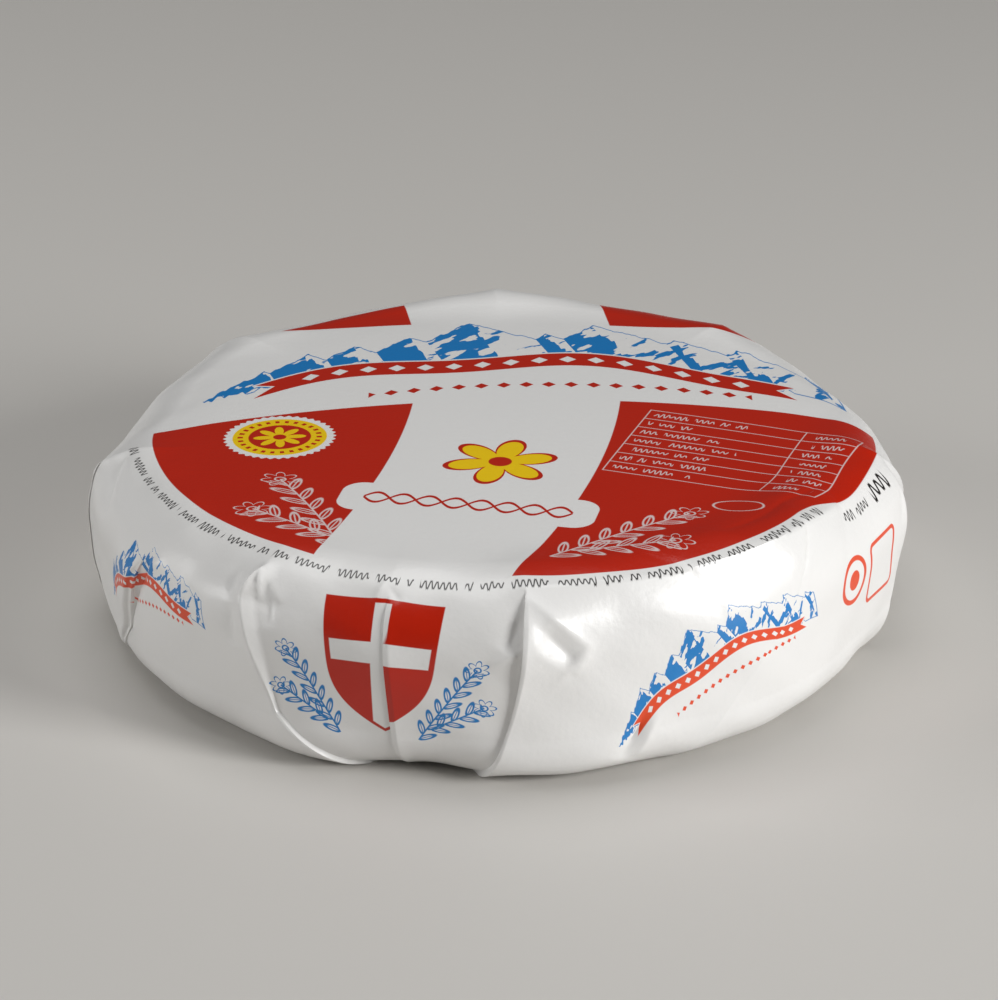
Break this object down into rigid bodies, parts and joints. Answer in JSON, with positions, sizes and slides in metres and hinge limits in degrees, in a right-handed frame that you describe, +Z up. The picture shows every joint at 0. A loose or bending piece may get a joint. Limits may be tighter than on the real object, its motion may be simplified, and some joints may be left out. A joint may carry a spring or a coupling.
{
  "type": "wrapped soft cheese round",
  "caption": "Flat round of soft washed-rind cheese shut in a folded printed paper wrapper, with gathered folds down the side and a flat base to rest on.",
  "frame": {"origin": "centre of the base, on the surface that the round rests on", "axes": "+Z up through the middle of the round, -Y towards the side with the coat of arms"},
  "size_m": [0.139, 0.1435, 0.0358],
  "materials": {
    "wrapper": "satin coated white paper with red, blue and yellow print"
  },
  "bodies": {
    "root": {"wrapped_cheese": "wrapper"}
  },
  "joints": []
}
